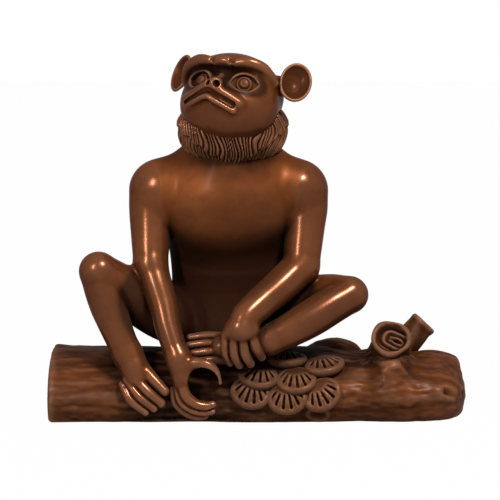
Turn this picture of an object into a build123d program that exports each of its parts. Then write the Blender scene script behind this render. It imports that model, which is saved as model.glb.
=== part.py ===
from build123d import *
import math
import os

# A monkey sitting on a log: bronze castings doweled, studded and screwed together.
# Millimetres, +Z up, -Y towards the front. The origin is under the middle of the felt pad.
# Right and left are the monkey's own, so its right side is at -X.

# Log
LOG_LENGTH = 208.0
LOG_DEPTH = 62.0
LOG_CREST = 33.0              # top of the log above the table
LOG_AXIS_HEIGHT = 11.0        # level at which the log is widest
LOG_SAWN_DEPTH = 56.0         # the flat end on the monkey's right
LOG_SAWN_CREST = 30.0
LOG_DIP_CREST = 29.5          # the log is lower on the monkey's left, where the stubs stand
LOG_NOSE_DEPTH = 26.0         # the rounded broken end on the monkey's left
LOG_NOSE_CREST = 20.0
LOG_NOSE_MIDDLE_DEPTH = 47.0  # half way along the rounding
LOG_NOSE_MIDDLE_CREST = 27.0
LOG_NOSE_RUN = 11.0           # length over which the broken end rounds off
LOG_END_RUN = 40.0            # length over which the log thins towards its ends
LOG_ROOF = 7.0                # metal over the hollow
LOG_WALL = 6.0                # metal beside the base plate
MOUND_PLACE = 0.19            # a low swelling behind the seat, as a share of the log's length from its middle
MOUND_BACK = 15.0
MOUND_SUNK = 9.0              # below the log's crest
MOUND_LENGTH = 18.0
MOUND_RADII = (6.0, 11.0, 6.0)
BUMP_PLACE = 0.43             # a knob on top of the rounded end
BUMP_BACK = 2.0
BUMP_SUNK = 12.0
BUMP_LENGTH = 11.0
BUMP_RADII = (9.0, 10.0, 8.0)

# Base plate, felt and screws
FELT_THICKNESS = 1.5
FELT_STAND_OUT = 0.6          # felt that stands proud of the log's rim
FELT_MARGIN = 0.6
PLATE_THICKNESS = 1.5
PLATE_CORNER = 8.0
PLATE_CLEARANCE = 0.25
PLATE_LEDGE = 4.0             # ledge that the plate rests on
SCREW_RADIUS = 1.5
SCREW_LENGTH = 9.0
SCREW_HEAD_RADIUS = 2.8
SCREW_HEAD_HEIGHT = 1.3
SCREW_SLOT_WIDTH = 0.8
SCREW_SLOT_DEPTH = 0.6
SCREW_CLEARANCE = 0.2
SCREW_INSET = 7.0             # from the plate's edges
BOSS_RADIUS = 4.0

# Torso: heights are steps up from the seat, so what is above moves with each step
TORSO_X = -13.5
SEAT_SINK = 2.0               # the log's crest bites this far into the torso
ROOT_DEPTH = 12.0             # raw casting below the seat, trimmed to the log
HIP_RISE = 14.0
HIP_WIDTH = 66.0
HIP_DEPTH = 43.0
HIP_BACK = 7.0                # hips behind the middle of the log
WAIST_RISE = 25.0
WAIST_WIDTH = 58.0
WAIST_DEPTH = 36.0
WAIST_BACK = 7.0
RIB_RISE = 14.0
RIB_WIDTH = 61.0
RIB_DEPTH = 38.0
RIB_BACK = 6.8
CHEST_RISE = 14.0
CHEST_WIDTH = 69.0
CHEST_DEPTH = 47.0
CHEST_BACK = 2.7
SHOULDER_RISE = 16.0
SHOULDER_WIDTH = 80.0
SHOULDER_DEPTH = 50.0
SHOULDER_BACK = 1.8
YOKE_RISE = 9.0
YOKE_WIDTH = 77.0
YOKE_DEPTH = 46.0
YOKE_BACK = 2.3
COLLAR_RISE = 7.0
COLLAR_WIDTH = 60.0
COLLAR_DEPTH = 42.0
COLLAR_BACK = 2.5
NECK_RISE = 10.0
NECK_WIDTH = 38.0
NECK_BACK = 0.5
TORSO_WALL = 4.5
SEAT_FLOOR = 16.0             # solid metal above the seat, for the studs

# Seat studs
STUD_RADIUS = 2.5
STUD_SPREAD = 26.0
STUD_GRIP = 11.0              # length in the torso
STUD_TAIL = 1.5               # thread past the nut
NUT_HEIGHT = 4.0
NUT_ACROSS_FLATS = 8.0
WASHER_RADIUS = 5.0
WASHER_THICKNESS = 1.0
STUD_CLEARANCE = 0.25

# Dowels
DOWEL_RADIUS = 2.5
DOWEL_LENGTH = 16.0
BRANCH_DOWEL_RADIUS = 2.0
BRANCH_DOWEL_LENGTH = 14.0

JOINT_STEP = 0.4              # each bone starts this much thinner than the joint it grows from

# Arms: shoulder joints from the torso's axis, then each bone as a step from the last joint
SHOULDER_SPAN = 75.0
SHOULDER_DROP = 1.5           # arm joint below the torso's shoulder level
ARM_BACK = 0.5                # arm joint behind the middle of the log
DELTOID_RADIUS = 12.5
UPPER_ARM_RADIUS = 10.4
ELBOW_RADIUS = 8.2
FOREARM_RADIUS = 7.4
WRIST_RADIUS = 5.0
RIGHT_UPPER_ARM = (-1.6, -14.0, -39.0)
RIGHT_FOREARM = (15.4, -19.0, -34.0)
LEFT_UPPER_ARM = (1.4, -11.0, -38.0)
LEFT_FOREARM = (-34.4, -25.0, -20.0)

# Right hand: thumb and fingers curl round an open hook
PALM_RADIUS = 5.6
RIGHT_PALM = (4.2, -2.5, -11.0)
HOOK_FROM_PALM = (8.0, -1.5, -4.5)
HOOK_RADIUS = 9.6             # to the middle of the thumb and first finger
THUMB_RADIUS = 2.2
THUMB_START = 165.0           # degrees, counted as seen from the front
THUMB_TURN = 160.0
FINGER_RADIUS = 2.5
FINGER_START = 185.0
FINGER_TURN = 105.0
FINGER_PITCH = 4.2            # from one finger's middle to the next
FINGER_SETBACK = 0.8          # each finger lies this far behind the one above
HOOK_FINGERS = 3

# Left hand: laid over the shin, with four hanging fingers
PALM_WIDTH = 19.0
LEFT_PALM = (1.0, -3.0, -8.5)
LEFT_FINGER = (3.0, 6.5, -13.0)
LEFT_FINGER_PITCH = 5.0
LEFT_FINGERS = 4

# Legs: hip joints from the torso's axis, then each bone as a step from the last joint
HIP_SPAN = 40.0
HIP_LIFT = 2.0
THIGH_RADIUS = 13.0
KNEE_RADIUS = 9.6
SHIN_RADIUS = 9.2
ANKLE_RADIUS = 6.8
FOOT_RADIUS = 6.6
TOE_RADIUS = 2.9
TOES = 4
RIGHT_THIGH = (-44.0, -28.5, 28.0)
RIGHT_SHIN = (16.0, -2.0, -37.5)
RIGHT_FOOT = (4.0, -7.0, -12.5)
RIGHT_TOE_ROOT = (-5.0, -2.0, -4.0)
RIGHT_TOE_FAN = (2.8, 1.4, 2.9)       # step from one toe to the next
RIGHT_TOE = (9.0, -2.0, -11.0)
LEFT_THIGH = (39.5, -20.5, 14.5)
LEFT_SHIN = (-42.0, -13.0, -17.5)
LEFT_FOOT = (-22.0, 1.0, -3.5)
LEFT_TOE_ROOT = (-2.0, -1.0, 4.5)
LEFT_TOE_FAN = (0.5, -0.7, -3.6)
LEFT_TOE = (-11.0, 1.0, -1.0)

# Head: its own frame looks along -Y, then tips up, rolls and turns to the monkey's right
HEAD_LIFT = 19.0              # from the top of the neck to the head's middle
HEAD_FORWARD = 6.0
HEAD_SIDE = 2.0
HEAD_TURN = 25.0
HEAD_TIP = 20.0
HEAD_ROLL = 3.0
SKULL_WIDTH = 47.0
SKULL_RADIUS = 19.0
SKULL_LIFT = 2.5
SKULL_FORWARD = 1.5           # middle of the forehead's round
SKULL_BACK = 7.0              # middle of the back of the head's round
FOREHEAD_WIDTH = 40.0
FOREHEAD_RADIUS = 11.0
FOREHEAD_FORWARD = 8.5
FOREHEAD_LIFT = 7.5
JAW_WIDTH = 44.0
JAW_RADIUS = 19.6
JAW_FORWARD = 5.5
JAW_DROP = 7.5
CHEEK_RADIUS = 12.2
CHEEK_SPAN = 26.0
CHEEK_FORWARD = 5.0
CHEEK_DROP = 6.0
HEAD_HOLLOW_RADIUS = 12.0
HEAD_HOLLOW_LIFT = 1.0
SOCKET_RADIUS = 5.4           # dark hollow across the face under each half of the brow
SOCKET_INNER = (4.5, -23.8, 7.0)
SOCKET_OUTER = (19.0, -20.5, 7.0)
BROW_RADIUS = 2.7
BROW_MIDDLE = (3.4, -20.2, 12.2)      # half of the middle lobe
BROW_LOBE = ((7.4, -20.0, 12.0), (13.2, -17.6, 12.4), (18.6, -13.2, 10.6), (21.2, -7.6, 6.2))
RIDGE_TAPER = 0.6             # each length of the brow or lip is thinner than the last by this
NOSE_RADIUS = 3.6
NOSE_FORWARD = 26.0
NOSE_LIFT = 0.4
EYE_RADIUS = 4.1
EYE_SPAN = 22.0
EYE_FORWARD = 16.6
EYE_LIFT = 2.6
EYE_CLEARANCE = 0.1
LID_RADIUS = 8.2
LID_HALF_THICKNESS = 2.4
LID_SPAN = 24.0
LID_FORWARD = 17.4
LID_TURN = 25.0               # degrees that each lid faces outwards
LIP_RADIUS = 2.0
LIP_PATH = ((0.0, -26.8, -2.8), (7.5, -24.6, -5.2), (15.0, -18.8, -8.4))
MOUTH_RADIUS = 19.0           # the frown is an arc, highest under the nose
MOUTH_TURN = 84.0             # degrees
MOUTH_SLIT = 1.6
MOUTH_LEVEL = -5.0            # top of the frown from the head's middle
MOUTH_FLOOR = 22.0            # the slit is cut back to this distance in front of the head's middle

# Ears
EAR_SPAN = 62.0
EAR_RADIUS = 9.4
EAR_THICKNESS = 2.2
EAR_CUP = 4.5                 # depth of the dish
EAR_PEG_RADIUS = 3.2
EAR_PEG_LENGTH = 13.0
EAR_FIT = 0.05
EAR_LIFT = 10.5
EAR_BACK = 5.0
EAR_FACING = 55.0             # degrees that each ear opens forward from straight out sideways

# Ruff of hair
RUFF_WIDTH = 57.0             # at the widest of its barrel
RUFF_DEPTH = 48.0
RUFF_BORE_RADIUS = 12.0
RUFF_ROUND = 20.0             # the barrel would close to a point this far from its middle
RUFF_LEVELS = (-13.0, -7.0, 0.0, 7.0, 13.0)
RUFF_LOCKS = 30
RUFF_GROOVE = 1.4             # depth of the grooves between the locks
RUFF_PLACE = (1.7, -2.5, 2.0)         # from the top of the neck
RUFF_TIP = 10.0               # degrees, lower in front than behind

# Sawn stub and twig
KNOT_PLACE = 0.32             # share of the log's length from its middle
KNOT_Y = -1.5
KNOT_RADIUS = 10.0
KNOT_ROOT_RADIUS = 12.5
KNOT_LENGTH = 24.0
KNOT_SUNK = 7.0               # root below the log's crest
KNOT_RISE = 40.0              # degrees above level
KNOT_JOINT = 1.0              # the flares lift the stub's joint this far off the log
FLARES = (                    # swellings that run from the stub's root into the log: start, end and radii
    ((-6.5, -7.5, 1.0), (-26.5, -23.5, -7.0), (6.5, 3.0)),
    ((-0.5, -10.5, -1.0), (-3.5, -22.5, -11.0), (8.0, 5.0)),
    ((5.5, -7.5, 0.0), (18.5, -21.5, -8.0), (6.5, 3.0)),
    ((-7.5, 4.5, 0.0), (-26.5, 4.5, 2.0), (6.5, 3.0)),
)
TWIG_STEP = 3.5               # from the stub's place along the log
TWIG_Y = 7.0
TWIG_RADIUS = 6.5
TWIG_ROOT_RADIUS = 7.5
TWIG_LENGTH = 23.0
TWIG_SUNK = 5.0
TWIG_RISE = 45.0
TWIG_BACK = 8.0               # degrees that the twig leans to the back

# Pine-needle fans on the front of the log, from the top down
FAN_RADIUS = 9.4
FAN_HALF_THICKNESS = 4.0
FAN_PROUD = 0.8               # middle of each fan outside the log's surface
FANS = (                      # place along the log, and degrees round it from level to its crest
    (15.0, 58.0),
    (33.5, 48.0),
    (1.0, 33.0),
    (19.5, 28.0),
    (-3.0, 13.0),
    (15.0, 7.0),
    (32.0, 11.0),
)


def moved(point, *steps):
    for step in steps:
        point = tuple(a + b for a, b in zip(point, step))
    return point


def times(step, count):
    return tuple(count * a for a in step)


def largest(shape):
    return max(shape.solids(), key=lambda solid: solid.volume)


def limb(start, end, radii):
    # A round limb between two joints, with a half ball past each end
    axis = Vector(*end) - Vector(*start)
    first = radii[0]
    last = radii[-1]
    stations = [(radius, axis.length * i / (len(radii) - 1)) for i, radius in enumerate(radii)]
    diagonal = math.sqrt(0.5)
    bottom = ThreePointArc((0, -first), (first * diagonal, -first * diagonal), (first, 0))
    sides = [Line(low, high) for low, high in zip(stations, stations[1:])]
    shoulder = (last * diagonal, axis.length + last * diagonal)
    top = ThreePointArc((last, axis.length), shoulder, (0, axis.length + last))
    back = Line((0, axis.length + last), (0, -first))
    profile = make_face(Curve() + [bottom] + sides + [top, back])
    round_limb = revolve(Plane.XZ * profile, Axis.Z)
    return Plane(origin=start, z_dir=axis).location * round_limb


def bar(middle, radius, width):
    # A round-ended bar from side to side
    reach = (width / 2 - radius, 0, 0)
    return limb(moved(middle, times(reach, -1)), moved(middle, reach), [radius, radius])


def lens(radius, half_thickness):
    # A disc that bulges on both faces, about its own Z axis
    ball = (radius * radius + half_thickness * half_thickness) / (2 * half_thickness)
    half_angle = math.asin(radius / ball) / 2
    middle = (ball * math.sin(half_angle), half_thickness - ball * (1 - math.cos(half_angle)))
    upper = ThreePointArc((0, half_thickness), middle, (radius, 0))
    lower = ThreePointArc((radius, 0), (middle[0], -middle[1]), (0, -half_thickness))
    axis = Line((0, -half_thickness), (0, half_thickness))
    return revolve(Plane.XZ * make_face(Curve() + [upper, lower, axis]), Axis.Z)


def pin(middle, direction, radius, length):
    return Plane(origin=middle, z_dir=direction).location * Cylinder(radius, length)


def stub(root, direction, root_radius, radius, length):
    cone = Cone(root_radius, radius, length, align=(Align.CENTER, Align.CENTER, Align.MIN))
    return Plane(origin=root, z_dir=direction).location * cone


def log_half_depth(depth, crest, height):
    # Half depth of one of the log's oval sections at a height above the table
    rise = (height - LOG_AXIS_HEIGHT) / (crest - LOG_AXIS_HEIGHT)
    return depth / 2 * math.sqrt(1 - rise * rise)


def log_section(x, depth, crest):
    return Plane.YZ.offset(x) * Pos(0, LOG_AXIS_HEIGHT) * Ellipse(depth / 2, crest - LOG_AXIS_HEIGHT)


def way_out(root, direction):
    # The point where a line from inside the log leaves its middle section
    half_depth = LOG_DEPTH / 2
    half_height = LOG_CREST - LOG_AXIS_HEIGHT
    y, z = root[1] / half_depth, (root[2] - LOG_AXIS_HEIGHT) / half_height
    v, w = direction[1] / half_depth, direction[2] / half_height
    a, b, c = v * v + w * w, y * v + z * w, y * y + z * z - 1
    distance = (-b + math.sqrt(b * b - a * c)) / a
    return moved(root, times(direction, distance))


def heading(turn, rise):
    # A direction by its angle round from +X and its angle above level
    turn, rise = math.radians(turn), math.radians(rise)
    return (math.cos(rise) * math.cos(turn), math.cos(rise) * math.sin(turn), math.sin(rise))


# Levels and places worked out from the sizes above
rim_height = FELT_STAND_OUT
plate_bottom = FELT_THICKNESS
plate_top = plate_bottom + PLATE_THICKNESS
pocket_top = LOG_SAWN_CREST - LOG_ROOF
plate_width = 2 * (log_half_depth(LOG_SAWN_DEPTH, LOG_SAWN_CREST, rim_height) - LOG_WALL)
plate_length = LOG_LENGTH - 2 * (LOG_NOSE_RUN + LOG_WALL)
seat_height = LOG_CREST - SEAT_SINK
hip_height = seat_height + HIP_RISE
waist_height = hip_height + WAIST_RISE
rib_height = waist_height + RIB_RISE
chest_height = rib_height + CHEST_RISE
shoulder_height = chest_height + SHOULDER_RISE
yoke_height = shoulder_height + YOKE_RISE
collar_height = yoke_height + COLLAR_RISE
neck_height = collar_height + NECK_RISE
log_tool = 2 * (LOG_LENGTH + LOG_DEPTH)
knot_root = (KNOT_PLACE * LOG_LENGTH, KNOT_Y, LOG_CREST - KNOT_SUNK)
twig_root = (KNOT_PLACE * LOG_LENGTH + TWIG_STEP, TWIG_Y, LOG_CREST - TWIG_SUNK)


def plate_slab(inset, bottom, top):
    corner = PLATE_CORNER - inset
    outline = RectangleRounded(plate_length - 2 * inset, plate_width - 2 * inset, corner)
    return extrude(Pos(0, 0, bottom) * outline, amount=top - bottom)


def log_blank():
    right, left = -LOG_LENGTH / 2, LOG_LENGTH / 2
    sections = [
        log_section(right, LOG_SAWN_DEPTH, LOG_SAWN_CREST),
        log_section(right + LOG_END_RUN, LOG_DEPTH, LOG_CREST),
        log_section(0, LOG_DEPTH, LOG_CREST),
        log_section(left - LOG_END_RUN, LOG_DEPTH, LOG_DIP_CREST),
        log_section(left - LOG_NOSE_RUN, LOG_SAWN_DEPTH, LOG_DIP_CREST),
        log_section(left - LOG_NOSE_RUN / 2, LOG_NOSE_MIDDLE_DEPTH, LOG_NOSE_MIDDLE_CREST),
        log_section(left, LOG_NOSE_DEPTH, LOG_NOSE_CREST),
    ]
    timber = loft(sections, ruled=True)
    timber += swelling(MOUND_PLACE, MOUND_BACK, MOUND_SUNK, MOUND_LENGTH, MOUND_RADII)
    timber += swelling(BUMP_PLACE, BUMP_BACK, BUMP_SUNK, BUMP_LENGTH, BUMP_RADII)
    for start, end, radii in FLARES:
        timber += limb(moved(knot_root, start), moved(knot_root, end), radii)
    below = Pos(0, 0, rim_height - log_tool / 2) * Box(log_tool, log_tool, log_tool)
    return timber - below


def swelling(place, back, sunk, length, radii):
    # A low rise along the log
    middle = (place * LOG_LENGTH, back, LOG_CREST - sunk)
    return limb(moved(middle, (-length / 2, 0, 0)), moved(middle, (length / 2, 0, 0)), radii)


def torso_section(height, width, depth, back):
    return Pos(TORSO_X, back, height) * Ellipse(width / 2, depth / 2)


def torso_blank():
    sections = [
        torso_section(seat_height - ROOT_DEPTH, HIP_WIDTH, HIP_DEPTH, HIP_BACK),
        torso_section(hip_height, HIP_WIDTH, HIP_DEPTH, HIP_BACK),
        torso_section(waist_height, WAIST_WIDTH, WAIST_DEPTH, WAIST_BACK),
        torso_section(rib_height, RIB_WIDTH, RIB_DEPTH, RIB_BACK),
        torso_section(chest_height, CHEST_WIDTH, CHEST_DEPTH, CHEST_BACK),
        torso_section(shoulder_height, SHOULDER_WIDTH, SHOULDER_DEPTH, SHOULDER_BACK),
        torso_section(yoke_height, YOKE_WIDTH, YOKE_DEPTH, YOKE_BACK),
        torso_section(collar_height, COLLAR_WIDTH, COLLAR_DEPTH, COLLAR_BACK),
        torso_section(neck_height, NECK_WIDTH, NECK_WIDTH, NECK_BACK),
    ]
    return loft(sections, ruled=True)


def torso_hollow():
    thinner = 2 * TORSO_WALL
    sections = [
        torso_section(seat_height + SEAT_FLOOR, HIP_WIDTH - thinner, HIP_DEPTH - thinner, HIP_BACK),
        torso_section(waist_height, WAIST_WIDTH - thinner, WAIST_DEPTH - thinner, WAIST_BACK),
        torso_section(rib_height, RIB_WIDTH - thinner, RIB_DEPTH - thinner, RIB_BACK),
        torso_section(chest_height, CHEST_WIDTH - thinner, CHEST_DEPTH - thinner, CHEST_BACK),
        torso_section(shoulder_height, COLLAR_WIDTH - thinner, COLLAR_DEPTH - thinner, SHOULDER_BACK),
    ]
    return loft(sections, ruled=True)


# Joints of the skeleton
shoulder_level = shoulder_height - SHOULDER_DROP
right_shoulder = (TORSO_X - SHOULDER_SPAN / 2, ARM_BACK, shoulder_level)
right_elbow = moved(right_shoulder, RIGHT_UPPER_ARM)
right_wrist = moved(right_elbow, RIGHT_FOREARM)
right_palm = moved(right_wrist, RIGHT_PALM)
hook_middle = moved(right_palm, HOOK_FROM_PALM)
left_shoulder = (TORSO_X + SHOULDER_SPAN / 2, ARM_BACK, shoulder_level)
left_elbow = moved(left_shoulder, LEFT_UPPER_ARM)
left_wrist = moved(left_elbow, LEFT_FOREARM)
left_palm = moved(left_wrist, LEFT_PALM)
hip_level = hip_height + HIP_LIFT
right_hip = (TORSO_X - HIP_SPAN / 2, HIP_BACK, hip_level)
right_knee = moved(right_hip, RIGHT_THIGH)
right_ankle = moved(right_knee, RIGHT_SHIN)
right_foot = moved(right_ankle, RIGHT_FOOT)
left_hip = (TORSO_X + HIP_SPAN / 2, HIP_BACK, hip_level)
left_knee = moved(left_hip, LEFT_THIGH)
left_ankle = moved(left_knee, LEFT_SHIN)
left_foot = moved(left_ankle, LEFT_FOOT)
neck_top = (TORSO_X, NECK_BACK, neck_height)
head_middle = moved(neck_top, (HEAD_SIDE, -HEAD_FORWARD, HEAD_LIFT))
head_frame = Location(head_middle) * Rotation(0, 0, -HEAD_TURN) * Rotation(-HEAD_TIP, HEAD_ROLL, 0)

arm_radii = [DELTOID_RADIUS, UPPER_ARM_RADIUS, ELBOW_RADIUS]
forearm_radii = [ELBOW_RADIUS - JOINT_STEP, FOREARM_RADIUS, WRIST_RADIUS]
thigh_radii = [THIGH_RADIUS, THIGH_RADIUS, KNEE_RADIUS]
shin_radii = [KNEE_RADIUS - JOINT_STEP, SHIN_RADIUS, ANKLE_RADIUS]
palm_radii = [WRIST_RADIUS - JOINT_STEP, PALM_RADIUS]
foot_radii = [ANKLE_RADIUS - JOINT_STEP, FOOT_RADIUS]


def hook_finger(radius, ring_radius, start, turn, setback):
    # One finger as an arc that faces the front, with a round tip
    ring = Plane(origin=moved(hook_middle, (0, setback, 0)), x_dir=(1, 0, 0), z_dir=(0, -1, 0))
    path = ring * CenterArc((0, 0), ring_radius, start, turn)
    bent = sweep(Plane(origin=path @ 0, z_dir=path % 0) * Circle(radius), path)
    return bent + Pos(*(path @ 1)) * Sphere(radius)


def right_arm_blank():
    pieces = [
        limb(right_elbow, right_wrist, forearm_radii),
        limb(right_wrist, right_palm, palm_radii),
        hook_finger(THUMB_RADIUS, HOOK_RADIUS, THUMB_START, -THUMB_TURN, 0),
    ]
    for i in range(HOOK_FINGERS):
        ring_radius = HOOK_RADIUS + i * FINGER_PITCH
        turn = FINGER_TURN - i * math.degrees(FINGER_PITCH / ring_radius)
        pieces.append(hook_finger(FINGER_RADIUS, ring_radius, FINGER_START, turn, i * FINGER_SETBACK))
    return limb(right_shoulder, right_elbow, arm_radii) + pieces


def left_arm_blank():
    pieces = [
        limb(left_elbow, left_wrist, forearm_radii),
        limb(left_wrist, left_palm, palm_radii),
        bar(left_palm, PALM_RADIUS + JOINT_STEP, PALM_WIDTH),
    ]
    for i in range(LEFT_FINGERS):
        sideways = (i - (LEFT_FINGERS - 1) / 2) * LEFT_FINGER_PITCH
        root = moved(left_palm, (sideways, 0, 0))
        pieces.append(limb(root, moved(root, LEFT_FINGER), [FINGER_RADIUS, FINGER_RADIUS]))
    return limb(left_shoulder, left_elbow, arm_radii) + pieces


def leg_blank(hip, knee, ankle, foot, toe_root, toe_fan, toe):
    pieces = [limb(knee, ankle, shin_radii), limb(ankle, foot, foot_radii)]
    for i in range(TOES):
        root = moved(foot, toe_root, times(toe_fan, i))
        pieces.append(limb(root, moved(root, toe), [TOE_RADIUS, TOE_RADIUS]))
    return limb(hip, knee, thigh_radii) + pieces


def eye_place(side):
    return Pos(side * EYE_SPAN / 2, -EYE_FORWARD, EYE_LIFT)


def mouth_slit():
    # A thin arched cut across the muzzle
    start = 90 - MOUTH_TURN / 2
    centre = (0, MOUTH_LEVEL - MOUTH_RADIUS)
    outer = CenterArc(centre, MOUTH_RADIUS, start, MOUTH_TURN)
    inner = CenterArc(centre, MOUTH_RADIUS - MOUTH_SLIT, start, MOUTH_TURN)
    ends = [Line(outer @ 0, inner @ 0), Line(outer @ 1, inner @ 1)]
    face = Plane.XZ.offset(MOUTH_FLOOR) * make_face(Curve() + [outer, inner] + ends)
    return extrude(face, amount=JAW_FORWARD + JAW_RADIUS)


def mirrored(point, side):
    return (side * point[0], point[1], point[2])


def ridge(path, radius, side):
    # A raised roll along a path on one side of the face, each length a little thinner than the last
    roll = []
    for start, end in zip(path, path[1:]):
        roll.append(limb(mirrored(start, side), mirrored(end, side), [radius, radius - JOINT_STEP]))
        radius -= RIDGE_TAPER
    return roll


def head_blank():
    head = bar((0, SKULL_BACK, SKULL_LIFT), SKULL_RADIUS, SKULL_WIDTH)
    head += bar((0, -SKULL_FORWARD, SKULL_LIFT), SKULL_RADIUS - JOINT_STEP, SKULL_WIDTH - 2 * JOINT_STEP)
    head += bar((0, -FOREHEAD_FORWARD, FOREHEAD_LIFT), FOREHEAD_RADIUS, FOREHEAD_WIDTH)
    head += bar((0, -JAW_FORWARD, -JAW_DROP), JAW_RADIUS, JAW_WIDTH)
    for side in (-1, 1):
        head += Pos(side * CHEEK_SPAN / 2, -CHEEK_FORWARD, -CHEEK_DROP) * Sphere(CHEEK_RADIUS)
    for side in (-1, 1):
        inner, outer = mirrored(SOCKET_INNER, side), mirrored(SOCKET_OUTER, side)
        head -= limb(inner, outer, [SOCKET_RADIUS, SOCKET_RADIUS])
    head += Pos(0, -NOSE_FORWARD, NOSE_LIFT) * Sphere(NOSE_RADIUS)
    head += limb(mirrored(BROW_MIDDLE, -1), BROW_MIDDLE, [BROW_RADIUS, BROW_RADIUS])
    for side in (-1, 1):
        for roll in ridge(BROW_LOBE, BROW_RADIUS, side) + ridge(LIP_PATH, LIP_RADIUS, side):
            head += roll
        lid_place = (side * LID_SPAN / 2, -LID_FORWARD, EYE_LIFT)
        lid = Plane(origin=lid_place, z_dir=heading(-90 + side * LID_TURN, 0))
        head += lid.location * lens(LID_RADIUS, LID_HALF_THICKNESS)
    for side in (-1, 1):
        head -= eye_place(side) * Sphere(EYE_RADIUS + EYE_CLEARANCE)
    return head - mouth_slit()


def ear_peg(side, radius):
    inner_end = side * (EAR_SPAN / 2 - EAR_PEG_LENGTH / 2)
    return Pos(inner_end, EAR_BACK, EAR_LIFT) * Rotation(0, 90, 0) * Cylinder(radius, EAR_PEG_LENGTH)


def ear_dish(side):
    # A round dish that opens along its own +Z, turned to face out and forward
    rim = EAR_RADIUS - EAR_THICKNESS
    back = Spline((0, -EAR_CUP), (EAR_RADIUS, 0), tangents=[(1, 0), (0, 1)])
    lip = ThreePointArc((EAR_RADIUS, 0), (EAR_RADIUS - EAR_THICKNESS / 2, EAR_THICKNESS / 2), (rim, 0))
    bowl = Spline((rim, 0), (0, EAR_THICKNESS - EAR_CUP), tangents=[(0, -1), (-1, 0)])
    middle = Line((0, EAR_THICKNESS - EAR_CUP), (0, -EAR_CUP))
    dish = revolve(Plane.XZ * make_face(Curve() + [back, lip, bowl, middle]), Axis.Z)
    facing = heading(-90 + side * (90 - EAR_FACING), 0)
    place = (side * EAR_SPAN / 2, EAR_BACK, EAR_LIFT)
    return Plane(origin=place, z_dir=facing).location * dish


def ruff_section(height):
    # An oval with a point for each lock of hair and a notch between
    share = math.sqrt(1 - (height / RUFF_ROUND) ** 2)
    points = []
    for i in range(2 * RUFF_LOCKS):
        angle = math.pi * i / RUFF_LOCKS
        cut = RUFF_GROOVE * (i % 2)
        across = share * RUFF_WIDTH / 2 - cut
        along = share * RUFF_DEPTH / 2 - cut
        points.append((across * math.cos(angle), along * math.sin(angle)))
    return Pos(0, 0, height) * make_face(Polyline(*points, close=True))


def ruff_blank():
    # A barrel-shaped collar of grooved hair, tipped down in front
    barrel = loft([ruff_section(height) for height in RUFF_LEVELS], ruled=True)
    collar = barrel - Cylinder(RUFF_BORE_RADIUS, 2 * RUFF_ROUND)
    return Location(moved(neck_top, RUFF_PLACE)) * Rotation(RUFF_TIP, 0, 0) * collar


def fan_blank(x, angle):
    angle = math.radians(angle)
    half_depth = LOG_DEPTH / 2
    half_height = LOG_CREST - LOG_AXIS_HEIGHT
    out = Vector(0, -math.cos(angle) / half_depth, math.sin(angle) / half_height).normalized()
    surface = Vector(x, -half_depth * math.cos(angle), LOG_AXIS_HEIGHT + half_height * math.sin(angle))
    place = Plane(origin=surface + out * FAN_PROUD, z_dir=out)
    return place.location * lens(FAN_RADIUS, FAN_HALF_THICKNESS)


def screw_places():
    x = plate_length / 2 - SCREW_INSET
    y = plate_width / 2 - SCREW_INSET
    return [Pos(i * x, j * y, plate_bottom) for i in (-1, 1) for j in (-1, 1)]


def screw():
    on_base = (Align.CENTER, Align.CENTER, Align.MIN)
    head = Cone(SCREW_HEAD_RADIUS, SCREW_RADIUS, SCREW_HEAD_HEIGHT, align=on_base)
    shank = Cylinder(SCREW_RADIUS, SCREW_LENGTH, align=on_base)
    slot = Box(2 * SCREW_HEAD_RADIUS, SCREW_SLOT_WIDTH, SCREW_SLOT_DEPTH, align=on_base)
    return head + shank - slot


def screw_way():
    # What the screw takes out of the plate: its cone and a free hole
    on_base = (Align.CENTER, Align.CENTER, Align.MIN)
    head = Cone(SCREW_HEAD_RADIUS, SCREW_RADIUS, SCREW_HEAD_HEIGHT, align=on_base)
    return head + Cylinder(SCREW_RADIUS + SCREW_CLEARANCE, PLATE_THICKNESS, align=on_base)


def stud_places():
    return [Pos(TORSO_X + side * STUD_SPREAD / 2, HIP_BACK, 0) for side in (-1, 1)]


def standing(radius, bottom, top):
    return Pos(0, 0, (bottom + top) / 2) * Cylinder(radius, top - bottom)


def group(shapes):
    return Compound(children=[solid for shape in shapes for solid in shape.solids()])


# Bodies before their bores, each trimmed by the larger ones that it is set against
log = log_blank()
torso = torso_blank()
head = head_frame * head_blank()
right_leg = largest(
    leg_blank(right_hip, right_knee, right_ankle, right_foot, RIGHT_TOE_ROOT, RIGHT_TOE_FAN, RIGHT_TOE)
    - torso - log
)
left_leg = largest(
    leg_blank(left_hip, left_knee, left_ankle, left_foot, LEFT_TOE_ROOT, LEFT_TOE_FAN, LEFT_TOE)
    - torso - log
)
right_arm = largest(right_arm_blank() - torso - right_leg - log)
left_arm = largest(left_arm_blank() - torso - left_leg - log)
neck_ruff = largest(ruff_blank() - head - torso - right_arm - left_arm)

knot_heading = heading(-90, KNOT_RISE)
knot_stub = largest(stub(knot_root, knot_heading, KNOT_ROOT_RADIUS, KNOT_RADIUS, KNOT_LENGTH) - log)
twig_heading = heading(TWIG_BACK, TWIG_RISE)
twig_stub = largest(
    stub(twig_root, twig_heading, TWIG_ROOT_RADIUS, TWIG_RADIUS, TWIG_LENGTH) - log - knot_stub
)

fans = []
for x, angle in FANS:
    fan = fan_blank(x, angle) - log
    for obstacle in [torso, left_leg, left_arm] + fans:
        if fan.bounding_box().overlaps(obstacle.bounding_box()):
            fan -= obstacle
    fans.append(largest(fan))

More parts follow.
